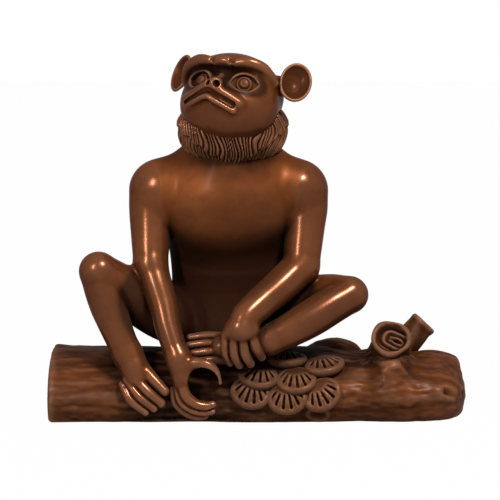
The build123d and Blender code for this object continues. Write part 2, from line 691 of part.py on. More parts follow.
# Ears on pegs in the head, and the beads of the eyes
ears = {}
for side, name in ((-1, "right_ear"), (1, "left_ear")):
    dish = head_frame * ear_dish(side) - head - neck_ruff
    ears[name] = largest(dish + head_frame * ear_peg(side, EAR_PEG_RADIUS))
    head -= head_frame * ear_peg(side, EAR_PEG_RADIUS + EAR_FIT)
eyes = {
    name: head_frame * eye_place(side) * Sphere(EYE_RADIUS)
    for side, name in ((-1, "right_eye"), (1, "left_eye"))
}
head -= head_frame * Pos(0, 0, HEAD_HOLLOW_LIFT) * Sphere(HEAD_HOLLOW_RADIUS)
head = largest(head - torso)

# Dowels across the casting joints
sideways = (1, 0, 0)
thigh_exit = HIP_WIDTH / 2 - HIP_SPAN / 2
right_thigh = Vector(*RIGHT_THIGH).normalized()
left_thigh = Vector(*LEFT_THIGH).normalized()
neck_dowel = pin(neck_top, (0, 0, 1), DOWEL_RADIUS, DOWEL_LENGTH)
right_shoulder_dowel = pin(
    moved(right_shoulder, ((SHOULDER_SPAN - SHOULDER_WIDTH) / 2, 0, 0)), sideways, DOWEL_RADIUS, DOWEL_LENGTH
)
left_shoulder_dowel = pin(
    moved(left_shoulder, ((SHOULDER_WIDTH - SHOULDER_SPAN) / 2, 0, 0)), sideways, DOWEL_RADIUS, DOWEL_LENGTH
)
right_hip_dowel = pin(Vector(*right_hip) + right_thigh * thigh_exit, right_thigh, DOWEL_RADIUS, DOWEL_LENGTH)
left_hip_dowel = pin(Vector(*left_hip) + left_thigh * thigh_exit, left_thigh, DOWEL_RADIUS, DOWEL_LENGTH)
knot_joint = moved(way_out(knot_root, knot_heading), times(knot_heading, KNOT_JOINT))
knot_dowel = pin(knot_joint, knot_heading, BRANCH_DOWEL_RADIUS, BRANCH_DOWEL_LENGTH)
twig_dowel = pin(way_out(twig_root, twig_heading), twig_heading, BRANCH_DOWEL_RADIUS, BRANCH_DOWEL_LENGTH)

# Bores, the torso's hollow, and the pocket and bosses under the log
torso_dowels = [neck_dowel, right_shoulder_dowel, left_shoulder_dowel, right_hip_dowel, left_hip_dowel]
torso = torso - torso_hollow() - log - torso_dowels
head -= neck_dowel
right_arm -= right_shoulder_dowel
left_arm -= left_shoulder_dowel
right_leg -= right_hip_dowel
left_leg -= left_hip_dowel
knot_stub -= knot_dowel
twig_stub -= twig_dowel

pocket = plate_slab(PLATE_LEDGE, plate_top, pocket_top)
for place in screw_places():
    pocket -= place * standing(BOSS_RADIUS, 0, pocket_top)
rebate = plate_slab(-PLATE_CLEARANCE, 0, plate_top)
log = log - pocket - rebate - knot_dowel - twig_dowel
base_plate = plate_slab(0, plate_bottom, plate_top)
for place in screw_places():
    log -= place * standing(SCREW_RADIUS, 0, SCREW_LENGTH)
    base_plate -= place * screw_way()
felt_pad = plate_slab(FELT_MARGIN, 0, FELT_THICKNESS)

# Studs, washers and nuts that hold the torso on the log
washer_bottom = pocket_top - WASHER_THICKNESS
nut_bottom = washer_bottom - NUT_HEIGHT
stud_top = seat_height + STUD_GRIP
studs, washers, nuts = [], [], []
for place in stud_places():
    stud = place * standing(STUD_RADIUS, nut_bottom - STUD_TAIL, stud_top)
    free_hole = place * standing(STUD_RADIUS + STUD_CLEARANCE, 0, stud_top)
    torso -= stud
    log -= free_hole
    studs.append(stud)
    washers.append(place * standing(WASHER_RADIUS, washer_bottom, pocket_top) - free_hole)
    hexagon = RegularPolygon(NUT_ACROSS_FLATS / 2, 6, major_radius=False)
    nuts.append(place * extrude(Pos(0, 0, nut_bottom) * hexagon, amount=NUT_HEIGHT) - stud)

nodes = {
    "log_shell": log,
    "base_plate": base_plate,
    "base_screws": group([place * screw() for place in screw_places()]),
    "felt_pad": felt_pad,
    "seat_studs": group(studs),
    "seat_washers": group(washers),
    "seat_nuts": group(nuts),
    "torso": torso,
    "head": head,
    "neck_ruff": neck_ruff,
    "right_arm": right_arm,
    "left_arm": left_arm,
    "right_leg": right_leg,
    "left_leg": left_leg,
    "knot_stub": knot_stub,
    "twig_stub": twig_stub,
    "neck_dowel": neck_dowel,
    "right_shoulder_dowel": right_shoulder_dowel,
    "left_shoulder_dowel": left_shoulder_dowel,
    "right_hip_dowel": right_hip_dowel,
    "left_hip_dowel": left_hip_dowel,
    "knot_dowel": knot_dowel,
    "twig_dowel": twig_dowel,
}
nodes.update(ears)
nodes.update(eyes)
for number, fan in enumerate(fans, 1):
    nodes[f"pine_fan_{number}"] = fan

os.makedirs("parts", exist_ok=True)
for name, shape in nodes.items():
    export_step(shape, f"parts/{name}.step")
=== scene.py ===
import math
import bpy
import numpy as np
import openvdb as vdb
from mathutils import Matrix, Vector


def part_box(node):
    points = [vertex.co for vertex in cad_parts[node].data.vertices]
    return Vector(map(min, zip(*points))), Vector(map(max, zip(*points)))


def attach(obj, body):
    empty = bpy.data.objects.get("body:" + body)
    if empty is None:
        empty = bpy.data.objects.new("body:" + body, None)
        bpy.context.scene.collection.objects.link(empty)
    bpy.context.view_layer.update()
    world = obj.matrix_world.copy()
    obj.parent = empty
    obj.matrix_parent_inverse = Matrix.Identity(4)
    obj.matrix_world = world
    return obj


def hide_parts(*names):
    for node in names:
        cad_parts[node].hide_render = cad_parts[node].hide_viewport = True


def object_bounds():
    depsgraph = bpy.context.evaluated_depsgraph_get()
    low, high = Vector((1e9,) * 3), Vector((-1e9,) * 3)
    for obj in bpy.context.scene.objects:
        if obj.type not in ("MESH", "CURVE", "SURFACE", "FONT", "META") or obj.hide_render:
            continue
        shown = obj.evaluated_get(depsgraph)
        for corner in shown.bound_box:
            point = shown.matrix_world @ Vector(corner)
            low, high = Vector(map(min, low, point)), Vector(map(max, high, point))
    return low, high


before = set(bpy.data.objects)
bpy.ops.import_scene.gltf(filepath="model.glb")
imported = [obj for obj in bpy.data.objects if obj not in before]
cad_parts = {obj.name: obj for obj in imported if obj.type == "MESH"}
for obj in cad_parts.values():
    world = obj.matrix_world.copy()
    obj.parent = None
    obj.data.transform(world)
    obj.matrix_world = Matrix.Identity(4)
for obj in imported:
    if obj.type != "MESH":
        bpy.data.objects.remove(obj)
cadBox = [list(corner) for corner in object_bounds()]
mm = 0.001
print("frame loaded:", len(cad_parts), "nodes")

# distance fields: every form below works in millimetres on an (n, 3) array of points
# and gives the distance to its surface, negative inside

def sizeOf(v):
    return np.sqrt(np.einsum("ij,ij->i", v, v))


def smoothMin(a, b, width):
    # the two forms flow into each other over this width
    near = np.maximum(width - np.abs(a - b), 0) / width
    return np.minimum(a, b) - near * near * width * 0.25


def smoothMax(a, b, width):
    return -smoothMin(-a, -b, width)


def step(low, high, value):
    t = np.clip((value - low) / (high - low), 0, 1)
    return t * t * (3 - 2 * t)


def egg(p, middle, radii):
    q = p - np.float32(middle)
    radii = np.float32(radii)
    inner = sizeOf(q / radii)
    return inner * (inner - 1) / np.maximum(sizeOf(q / (radii * radii)), 1e-6)


def bone(p, start, end):
    # a ball at each end and the cone that touches both
    axis = end[:3] - start[:3]
    length = max(float(np.linalg.norm(axis)), 1e-4)
    taper = float(start[3] - end[3])
    q = p - start[:3]
    along = q @ (axis / length)
    aside = np.sqrt(np.maximum(np.einsum("ij,ij->i", q, q) - along * along, 0))
    lean = taper / math.sqrt(max(length**2 - taper**2, 1e-6))
    share = np.clip((along - aside * lean) / length, 0, 1)
    return np.hypot(aside, along - share * length) - (start[3] - taper * share)


def rounded(points, parts=7):
    # a smooth run through the points, each (x, y, z, radius)
    knots = np.float32([points[0]] + list(points) + [points[-1]])
    t = np.linspace(0, 1, parts, endpoint=False, dtype=np.float32)[:, None]
    run = []
    for a, b, c, d in zip(knots[:-3], knots[1:-2], knots[2:-1], knots[3:]):
        square = (2 * a - 5 * b + 4 * c - d) * t**2
        cube = (3 * b - a - 3 * c + d) * t**3
        run.extend(0.5 * (2 * b + (c - a) * t + square + cube))
    return run + [knots[-1]]


exact = {"reach": 9}  # within this many millimetres of a rod its distance is exact


def tube(p, points, parts=7, reach=0):
    # a tapering rod through the points; far away only the box round it is measured
    run = np.float32(rounded(points, parts))
    radius = run[:, 3].max()
    low = run[:, :3].min(axis=0) - radius
    high = run[:, :3].max(axis=0) + radius
    away = sizeOf(np.maximum(np.maximum(low - p, p - high), 0))
    close = away < max(reach, exact["reach"])
    out = away.copy()
    if close.any():
        q = p[close]
        best = bone(q, run[0], run[1])
        for a, b in zip(run[1:-1], run[2:]):
            best = np.minimum(best, bone(q, a, b))
        out[close] = best
    return out


noiseTable = np.random.default_rng(11).random((64, 64, 64)).astype(np.float32) * 2 - 1


def noise(p, size):
    q = p / np.float32(size)
    whole = np.floor(q)
    f = q - whole
    f = f * f * (3 - 2 * f)
    i = whole.astype(np.int64) & 63
    j = (i + 1) & 63
    out = 0
    for xi, fx in ((i[:, 0], 1 - f[:, 0]), (j[:, 0], f[:, 0])):
        for yi, fy in ((i[:, 1], 1 - f[:, 1]), (j[:, 1], f[:, 1])):
            for zi, fz in ((i[:, 2], 1 - f[:, 2]), (j[:, 2], f[:, 2])):
                out = out + noiseTable[xi, yi, zi] * fx * fy * fz
    return out


def turned(x=0, y=0, z=0):
    # the rotation z after x after y, in degrees; its columns are the turned axes
    a, b, c = (math.radians(v) for v in (x, y, z))
    rx = np.array([[1, 0, 0], [0, math.cos(a), -math.sin(a)], [0, math.sin(a), math.cos(a)]])
    ry = np.array([[math.cos(b), 0, math.sin(b)], [0, 1, 0], [-math.sin(b), 0, math.cos(b)]])
    rz = np.array([[math.cos(c), -math.sin(c), 0], [math.sin(c), math.cos(c), 0], [0, 0, 1]])
    return np.float32(rz @ rx @ ry)


def facing(normal, up):
    # axes across, up and outward for something that lies on a surface
    out = np.float32(normal) / np.linalg.norm(normal)
    across = np.cross(np.float32(up), out)
    across /= np.linalg.norm(across)
    return np.stack([across, np.cross(out, across), out], axis=1).astype(np.float32)


# meshing: coarse cells first, then only the cells near the surface in full

def gridOf(axes):
    # every combination of the steps along three axes, one per row
    return np.stack(np.meshgrid(*axes, indexing="ij"), -1).reshape(-1, 3)


def blocksNear(field, origins, count, voxel, slack):
    middles = (origins + (count - 1) / 2).astype(np.float32) * voxel
    d = np.concatenate([field(part) for part in np.array_split(middles, max(1, len(middles) // 150000))])
    reach = count * voxel * 0.87 * 1.25 + slack
    return origins[np.abs(d) <= reach], origins[d < -reach]


def surfaceOf(field, low, high, voxel, slack=1.5):
    big, small = 16, 4
    first = np.floor(np.float32(low) / voxel / big).astype(int)
    last = np.ceil(np.float32(high) / voxel / big).astype(int)
    cells = gridOf([np.arange(a, b) for a, b in zip(first, last)]) * big
    grid = vdb.FloatGrid(5.0)
    grid.transform = vdb.createLinearTransform(voxelSize=voxel)
    near, inside = blocksNear(field, cells, big, voxel, slack)
    for block in inside:
        grid.fill(tuple(block.tolist()), tuple((block + big - 1).tolist()), -5.0)
    parts = gridOf([np.arange(0, big, small)] * 3)
    near, inside = blocksNear(field, (near[:, None, :] + parts).reshape(-1, 3), small, voxel, slack * 0.4)
    for block in inside:
        grid.fill(tuple(block.tolist()), tuple((block + small - 1).tolist()), -5.0)
    offsets = gridOf([np.arange(small)] * 3)
    for batch in np.array_split(near, max(1, len(near) // 4000)):
        points = (batch[:, None, :] + offsets).reshape(-1, 3).astype(np.float32) * voxel
        values = np.clip(field(points), -5, 5).reshape(len(batch), small, small, small)
        for block, value in zip(batch, values):
            grid.copyFromArray(value, ijk=tuple(block.tolist()))
    return grid.convertToQuads(isovalue=0.0)


def softener(quads, size):
    # gives a function that moves each point a share of the way to its neighbours' middle
    edges = np.concatenate([quads[:, [0, 1]], quads[:, [1, 2]], quads[:, [2, 3]], quads[:, [3, 0]]])
    count = np.maximum(np.bincount(edges[:, 0], minlength=size), 1)[:, None]

    def soften(points, share):
        sums = [np.bincount(edges[:, 0], points[edges[:, 1], axis], size) for axis in range(3)]
        total = np.stack(sums, 1)
        return points + share * (total / count - points)
    return soften


def evened(points, quads, rounds):
    # takes out small ripples; the outward step after each inward one keeps the size
    soften = softener(quads, len(points))
    for _ in range(rounds):
        points = soften(soften(points, 0.5), -0.52)
    return points


def hollowsOf(points, quads, normals, voxel, scales=((3, 1.0), (14, 0.7), (50, 0.45))):
    # how far each point lies under or over its smoothed surroundings, fine to broad
    soften = softener(quads, len(points))
    soft = points
    depth = np.zeros(len(points))
    done = 0
    for rounds, weight in scales:
        for _ in range(rounds - done):
            soft = soften(soft, 0.6)
        done = rounds
        depth += weight * np.einsum("ij,ij->i", soft - points, normals) / (voxel * math.sqrt(rounds))
    return depth


# how much of the sky each place sees; it is painted into the colour as shade
shadeGrid = {
    "cell": 3.0, "around": 30, "lift": 3.2, "reach": 45,
    "lifts": (4, 28, 52, 76),  # degrees above level of the rays that look for the sky
    "stops": (5, 8, 12, 17, 23, 30, 40, 55),  # how far along a ray it is tested
    "dark": 0.23, "open": 0.45,  # the share of sky that counts as hidden and as open
}


def fillShadeGrid(field):
    # the distance to the whole ornament on a coarse grid, to see how closed in a place is
    s = shadeGrid
    low = np.float32(cadBox[0]) / mm - s["around"]
    high = np.float32(cadBox[1]) / mm + s["around"]
    count = np.ceil((high - low) / s["cell"]).astype(int)
    spots = gridOf([np.arange(n) for n in count])
    usual = exact["reach"]
    exact["reach"] = s["reach"]
    values = [field(part.astype(np.float32) * s["cell"] + low) for part in np.array_split(spots, 6)]
    exact["reach"] = usual
    s["low"] = low
    s["away"] = np.concatenate(values).reshape(count)
    near = (s["away"] > -1) & (s["away"] < 12)
    spots = np.argwhere(near)
    sky = np.zeros(len(spots))
    rays = [(turn, lift) for lift in s["lifts"] for turn in range(0, 360, 45)]
    for turn, lift in rays:
        turn, lift = math.radians(turn), math.radians(lift)
        ray = np.array((math.cos(lift) * math.cos(turn), math.cos(lift) * math.sin(turn), math.sin(lift)))
        free = np.ones(len(spots))
        for far in s["stops"]:
            i = np.clip(np.rint(spots + ray * far / s["cell"]).astype(int), 0, count - 1)
            free = np.minimum(free, np.clip(s["away"][tuple(i.T)] / (0.2 * far), 0, 1))
        sky += free / len(rays)
    s["sky"] = np.zeros(count)
    s["sky"][near] = sky
    s["near"] = near.astype(float)
    for axis in range(3):
        for part in ("sky", "near"):
            s[part] = s[part] + np.roll(s[part], 1, axis) + np.roll(s[part], -1, axis)


def shadeAt(points, normals):
    # 0 where the sky above a place is open, 1 where nearly all of it is hidden
    s = shadeGrid
    q = np.clip((points + normals * s["lift"] - s["low"]) / s["cell"], 0, np.array(s["sky"].shape) - 1.01)
    i = q.astype(int)
    f = q - i
    sky, weight = 0, 1e-6
    for corner in np.ndindex(2, 2, 2):
        share = np.prod(np.where(corner, f, 1 - f), axis=1)
        at = tuple((i + corner).T)
        sky = sky + share * s["sky"][at]
        weight = weight + share * s["near"][at]
    return 1 - step(s["dark"], s["open"], sky / weight)


markGain = 1.6  # how strongly the depth of a groove or the height of a ridge shows


def addPiece(name, node, field, finish, voxel, margin=7, even=0, dim=None):
    # dim gives extra darkness from 0 to 1 at an array of points, added to the painted shade: painted shade
    # and shadow on some pieces, a darker tone all over on others
    low, high = (np.array(corner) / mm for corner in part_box(node))
    voxel = voxel * 1
    points, quads = surfaceOf(field, low - margin, high + margin, voxel)
    points = evened(points, quads, even)
    mesh = bpy.data.meshes.new(name)
    mesh.from_pydata((points * mm).tolist(), [], quads.tolist())
    volume = np.einsum("ij,ij->", points[quads[:, 0]], np.cross(points[quads[:, 1]], points[quads[:, 2]]))
    if volume < 0:
        mesh.flip_normals()
        quads = quads[:, ::-1]
    mesh.update()
    mesh.polygons.foreach_set("use_smooth", np.ones(len(mesh.polygons), dtype=bool))
    normals = np.empty(len(points) * 3, dtype=np.float32)
    mesh.vertex_normals.foreach_get("vector", normals)
    normals = normals.reshape(-1, 3)
    depth = hollowsOf(points, quads, normals, voxel)
    # shade: where the sky is hidden, painted as shade into the colour and the gloss
    shade = shadeAt(points, normals)
    if dim:
        shade = 1 - (1 - shade) * (1 - dim(points.astype(np.float32)))
    depth = depth * markGain
    marks = {"hollow": np.clip(depth, 0, 1), "ridge": np.clip(-depth, 0, 1), "shade": shade}
    for label, values in marks.items():
        mesh.attributes.new(label, "FLOAT", "POINT").data.foreach_set("value", values.astype(np.float32))
    piece = bpy.data.objects.new(name, mesh)
    bpy.context.scene.collection.objects.link(piece)
    mesh.materials.append(finish)
    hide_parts(node)
    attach(piece, "root")
    print("made", name, len(points), "points")
    return piece


# finishes

class Wire:
    # a socket that takes part in Python sums

    def __init__(self, tree, socket):
        self.tree = tree
        self.socket = socket

    def node(self, kind, settings=None, sockets=None, out=0):
        made = self.tree.nodes.new(kind)
        for key, value in (settings or {}).items():
            setattr(made, key, value)
        for key, value in (sockets or {}).items():
            if isinstance(value, Wire):
                self.tree.links.new(value.socket, made.inputs[key])
            else:
                made.inputs[key].default_value = value
        return Wire(self.tree, made.outputs[out])

    def sum(self, operation, first, second):
        return self.node("ShaderNodeMath", {"operation": operation}, {0: first, 1: second})

    def __add__(self, other):
        return self.sum("ADD", self, other)

    def __sub__(self, other):
        return self.sum("SUBTRACT", self, other)

    def __rsub__(self, other):
        return self.sum("SUBTRACT", other, self)

    def __mul__(self, other):
        return self.sum("MULTIPLY", self, other)

    def held(self):
        return self.node("ShaderNodeClamp", None, {"Value": self})

    __radd__ = __add__
    __rmul__ = __mul__


def mixed(amount, first, second):
    return amount.node("ShaderNodeMix", {"data_type": "RGBA"}, {0: amount, 6: first, 7: second}, 2)


def startFinish(name):
    finish = bpy.data.materials.new(name)
    finish.use_nodes = True
    tree = finish.node_tree
    shader = tree.nodes["Principled BSDF"]
    place = Wire(tree, tree.nodes.new("ShaderNodeTexCoord").outputs["Object"])
    return finish, tree, shader, place


def cloud(place, scale, detail=3.0, roughness=0.55, stretch=(1, 1, 1)):
    spot = place.node("ShaderNodeMapping", None, {"Vector": place, "Scale": stretch})
    sockets = {"Vector": spot, "Scale": scale, "Detail": detail, "Roughness": roughness}
    return place.node("ShaderNodeTexNoise", None, sockets)


def feed(tree, shader, **inputs):
    for key, value in inputs.items():
        socket = shader.inputs[key.replace("_", " ")]
        if isinstance(value, Wire):
            tree.links.new(value.socket, socket)
        else:
            socket.default_value = value


# bronze colours; deep is also the colour that painted shade darkens towards
patinaAndShade = {
    "dark": (0.004, 0.0025, 0.002, 1),
    "deep": (0.010, 0.0035, 0.0022, 1),
    "brown": (0.075, 0.021, 0.006, 1),
    "red": (0.128, 0.037, 0.01, 1),
    "worn": (0.34, 0.16, 0.09, 1),
    "barkGrey": (0.1, 0.058, 0.042, 1),
}


# scales and shares of the finish; shadeShare is how strongly the painted shade shows
wearAndShade = {
    "broad": 28, "blotch": 55, "fine": 160, "pores": 900, "streak": 150, "patch": 38,  # scales of the clouds
    "alongLog": (0.12, 1, 1), "alongPatch": (0.6, 1, 1),  # bark runs along the log
    "blotchShare": 0.4, "speckShare": 0.25, "shadeShare": 0.92, "wornShare": 0.7, "hollowGain": 1.6,
    "greyShare": 0.7, "streakShare": 0.55, "patchShare": 0.6,
    "skinBump": 0.09, "barkBump": 0.25, "bumpDepth": 0.0006,
    "coatRoughness": 0.2, "edgeTint": (0.3, 0.16, 0.1, 1),
}


def bronzeFinish(name, roughness, metal, coat, bark=False):
    finish, tree, shader, place = startFinish(name)
    marks = ("hollow", "ridge", "shade")
    hollow, ridge, shade = (place.node("ShaderNodeAttribute", {"attribute_name": m}, None, 2) for m in marks)
    broad = cloud(place, wearAndShade["broad"], 3)
    blotch = cloud(place, wearAndShade["blotch"], 4)
    fine = cloud(place, wearAndShade["fine"], 4, 0.6)
    colour = mixed(((broad - 0.38) * 3.2).held(), patinaAndShade["brown"], patinaAndShade["red"])
    colour = mixed(((blotch - 0.52) * 5).held() * wearAndShade["blotchShare"], colour, patinaAndShade["deep"])
    if bark:
        streaks = cloud(place, wearAndShade["streak"], 4, 0.65, wearAndShade["alongLog"])
        patches = cloud(place, wearAndShade["patch"], 5, 0.65, wearAndShade["alongPatch"])
        colour = mixed(((streaks - 0.5) * 4).held() * wearAndShade["greyShare"], colour, patinaAndShade["barkGrey"])
        colour = mixed(((0.5 - streaks) * 4).held() * wearAndShade["streakShare"], colour, patinaAndShade["deep"])
        colour = mixed(((patches - 0.5) * 6).held() * wearAndShade["patchShare"], colour, patinaAndShade["deep"])
    colour = mixed(((fine - 0.55) * 4).held() * wearAndShade["speckShare"], colour, patinaAndShade["dark"])
    # painted shade: where the sky is hidden the colour goes towards deep brown
    colour = mixed(shade * wearAndShade["shadeShare"], colour, patinaAndShade["deep"])
    colour = mixed((ridge * (0.5 + fine)).held() * wearAndShade["wornShare"], colour, patinaAndShade["worn"])
    colour = mixed((hollow * wearAndShade["hollowGain"]).held(), colour, patinaAndShade["dark"])
    grain = cloud(place, wearAndShade["pores"], 2, 0.5) * 0.5 + fine * 0.8
    depth = wearAndShade["barkBump"] if bark else wearAndShade["skinBump"]
    relief = {"Height": grain, "Strength": depth, "Distance": wearAndShade["bumpDepth"]}
    bump = place.node("ShaderNodeBump", None, relief)
    # metal and coat fall away in hollows and where shade is painted, so shaded places also lose their
    # reflections
    bareUnshaded = 1 - (hollow + shade).held()
    gloss = 1 - place.node("ShaderNodeLayerWeight", None, {"Blend": 0.5}, 1)
    feed(tree, shader, Base_Color=colour, Metallic=bareUnshaded * metal,
         Roughness=(fine * 0.12 + (roughness - 0.06) + (hollow + shade) * 0.3).held(),
         Specular_IOR_Level=0.02, Specular_Tint=wearAndShade["edgeTint"],
         Coat_Weight=bareUnshaded * gloss * coat, Coat_Roughness=wearAndShade["coatRoughness"], Normal=bump)
    return finish


# roughness, share of bare metal and strength of the wax coat
limbBronze = bronzeFinish("limbBronze", 0.25, 0.5, 0.16)
torsoBronze = bronzeFinish("torsoBronze", 0.44, 0.45, 0.03)
headBronze = bronzeFinish("headBronze", 0.28, 0.5, 0.14)
fanBronze = bronzeFinish("fanBronze", 0.27, 0.5, 0.2)
logBronze = bronzeFinish("logBronze", 0.42, 0.35, 0.05, bark=True)
print("finishes ready")

# the figure: places are in millimetres in the frame, its right is the photo's left

torsoShape = {
    "chest": ((-14, -1, 105.5), (35, 22, 25.5)),
    "back": ((-13.5, 8, 98), (32, 18, 36)),
    "belly": ((-13.5, 7, 66), (29, 17.5, 40)),
    "pelvis": ((-13.5, 7, 45), (33, 20, 19)),
    "yoke": [(-47, 1, 116, 11), (-30, 3, 123, 11), (-13, 4, 127, 13), (4, 3, 123, 11), (20, 1, 116, 11)],
    "neck": [(-13, 3, 118, 18), (-12, 0, 148, 17)],
}


def torsoForm(p):
    d = egg(p, *torsoShape["belly"])
    d = smoothMin(d, egg(p, *torsoShape["pelvis"]), 12)
    d = smoothMin(d, egg(p, *torsoShape["back"]), 10)
    d = smoothMin(d, egg(p, *torsoShape["chest"]), 8)
    d = smoothMin(d, tube(p, torsoShape["yoke"], 3, 20), 12)
    return smoothMin(d, tube(p, torsoShape["neck"], 3, 24), 14)


rightArmShape = {
    "upper": [(-50, 0.5, 112.5, 13.4), (-52, -2, 103, 11.4), (-52.4, -7, 90, 9.8), (-52.4, -13, 77, 8.4)],
    "fore": [
        (-52.4, -13, 77, 8.4), (-49, -18, 67.5, 7.6), (-45.9, -22, 58.3, 7.1),
        (-43.6, -26.5, 49, 6.5), (-40.6, -30.5, 40, 6), (-37.8, -33, 33, 5.8),
    ],
    "palm": [(-38, -33, 34, 5.8), (-36.6, -34.6, 26, 5.2), (-36.6, -34.6, 20, 3.6)],
    "thumb": [
        (-34.5, -35, 30.5, 3.6), (-29.5, -36.5, 32.2, 3.0), (-24.1, -37.5, 31.5, 2.6),
        (-20.2, -37.5, 28.3, 2.1), (-17.9, -37, 22.6, 1.1),
    ],
    "index": [
        (-36.3, -36, 21, 3.1), (-34.4, -37.4, 16, 2.9), (-30, -37.8, 12.2, 2.7),
        (-25.1, -37.6, 10.9, 2.5), (-21.5, -37.4, 11.8, 1.8),
    ],
    "middle": [
        (-38.3, -34.6, 19.5, 2.8), (-36.6, -36.1, 13, 2.6), (-31.5, -36.8, 9, 2.5),
        (-26.1, -36.8, 8, 2.3), (-21.8, -36.4, 8.3, 1.8),
    ],
    "ring": [
        (-39.8, -33.2, 18, 2.6), (-38.8, -34.4, 12, 2.5), (-34, -35.5, 7.6, 2.4),
        (-29.1, -35.5, 5.8, 2.2), (-25, -35, 5.8, 1.7),
    ],
    "curl": ((-26, -37, 22.8), 7.5, 12),  # middle, radius and half depth of the opening in the hand
}


fingerSeam = {"width": 0.8, "depth": 0.75}


def fingersForm(p, fingers):
    # fingers side by side, with a groove along each seam
    d = tube(p, fingers[0])
    for finger in fingers[1:]:
        other = tube(p, finger)
        seam = np.exp(-(((other - d) / fingerSeam["width"]) ** 2))
        d = np.minimum(d, other) + fingerSeam["depth"] * seam
    return d


def rightArmForm(p):
    s = rightArmShape
    d = smoothMin(tube(p, s["upper"]), tube(p, s["fore"]), 2)
    d = smoothMin(d, tube(p, s["palm"]), 3)
    d = smoothMin(d, tube(p, s["thumb"]), 2.5)
    d = smoothMin(d, fingersForm(p, [s[finger] for finger in ("index", "middle", "ring")]), 0.5)
    middle, radius, halfDepth = s["curl"]
    across = np.hypot(p[:, 0] - middle[0], p[:, 2] - middle[2]) - radius
    hole = np.maximum(across, np.abs(p[:, 1] - middle[1]) - halfDepth)
    return smoothMax(d, -hole, 0.6)


leftArmShape = {
    "upper": [
        (22.5, 0.5, 112, 13), (24.4, -2, 104, 11), (24, -5, 95.5, 10),
        (23, -8.5, 85, 9.4), (22, -11.5, 76, 9),
    ],
    "fore": [
        (22, -11.5, 76, 9), (12, -19, 67.5, 8.6), (2.6, -27, 60.7, 8),
        (-4.6, -33, 55, 7.4), (-7.6, -36, 50, 6.8),
    ],
    "back": [(-12, -36.5, 47.5, 4.6), (-7, -37.5, 48, 5.2), (-3.4, -36.5, 48.5, 4.6)],
    "fingers": [
        [(-14.8, -37, 46, 2.7), (-15, -37.5, 38, 2.5), (-12.9, -34, 32, 2.0)],
        [(-11.2, -38, 46, 2.8), (-11, -38.8, 37.5, 2.6), (-8.4, -35.2, 31, 2.1)],
        [(-7, -38, 46, 2.8), (-5.9, -38.6, 37.5, 2.6), (-3, -34.8, 31.4, 2.1)],
        [(-3, -37, 47, 2.8), (-0.6, -36.8, 40.4, 2.7), (2.4, -32.2, 34.4, 2.1)],
    ],
}


def leftArmForm(p):
    s = leftArmShape
    d = smoothMin(tube(p, s["upper"]), tube(p, s["fore"]), 2)
    d = smoothMin(d, tube(p, s["back"]), 3)
    return smoothMin(d, fingersForm(p, s["fingers"]), 1)


rightLegShape = {
    "paintedShadeZone": ((-57, -14, 57), (18, 20, 20)),  # painted shadow between the thigh and the hanging arm
    "thigh": [
        (-34, 3, 46, 15), (-48, -3.5, 52, 13.6), (-60, -10, 60.5, 12.6),
        (-69.6, -16, 68, 11), (-77.4, -22, 75.2, 9.3),
    ],
    "shin": [
        (-77.4, -22, 75, 9.3), (-75.4, -23.2, 65.9, 8.9), (-72.8, -23.8, 57.6, 8.7),
        (-69.9, -24.2, 50.2, 8.2), (-67, -24.8, 42.8, 7.6), (-63.6, -25.5, 35, 7.4),
    ],
    "foot": [(-63.6, -25.5, 35, 7.4), (-60.6, -27.6, 29, 7.4), (-58.8, -29, 23.4, 7)],
    "toes": [
        [(-56.8, -28.5, 28.6, 4), (-51.1, -32, 23.6, 3.2), (-44.9, -34.6, 17.8, 2.4)],
        [(-60.4, -31.5, 24, 3.4), (-53.7, -34.8, 18, 2.9), (-46.8, -35.8, 12.2, 2.3)],
        [(-63.1, -31.5, 22, 3.2), (-57.1, -35, 15.2, 2.8), (-50.2, -35.8, 9.8, 2.2)],
        [(-64.6, -31, 20.4, 3), (-61.2, -34.4, 13.6, 2.7), (-54.2, -35.2, 8, 2.1)],
    ],
}
leftLegShape = {
    "thigh": [(7, 3, 46, 15), (21.8, -2, 56.5, 12), (36, -8, 61.5, 10), (46, -13, 62, 9)],
    "shin": [
        (46, -13.6, 62, 9), (37.2, -18, 57.6, 9.2), (27.2, -22, 52, 9.2),
        (16.3, -25.5, 46.4, 8.4), (6.5, -27, 42, 7.4),
    ],
    "foot": [(6.5, -27, 42, 7.4), (-6, -28, 39.5, 6.6), (-17, -27.5, 38, 6)],
    "toes": [
        [(-17, -24.5, 42.4, 2.9), (-25, -24.5, 43, 2.6), (-32.4, -23.8, 42.2, 2.1)],
        [(-17, -27, 39.6, 2.9), (-25, -27, 40, 2.6), (-32.8, -26, 39, 2.1)],
        [(-17, -29, 36.4, 2.9), (-24, -29, 36.4, 2.6), (-31, -28, 35.4, 2.1)],
        [(-15, -30, 33.2, 2.8), (-22, -30, 32.8, 2.5), (-28, -29, 32, 2)],
    ],
}


def legForm(p, s):
    d = smoothMin(tube(p, s["thigh"]), tube(p, s["shin"]), 1.5)
    d = smoothMin(d, tube(p, s["foot"]), 2)
    return smoothMin(d, fingersForm(p, s["toes"]), 1)


limbs = {
    "torso": torsoForm,
    "right_arm": rightArmForm,
    "left_arm": leftArmForm,
    "right_leg": lambda p: legForm(p, rightLegShape),
    "left_leg": lambda p: legForm(p, leftLegShape),
}


skinFlow = {
    "armpit": 1.2, "shoulder": 6, "armpitHeight": 92, "shoulderHeight": 112, "hip": 4,
    "sink": 0.2, "sinkReach": 2, "overlap": 1.2,  # past the seam a piece sinks under its neighbour's skin
}


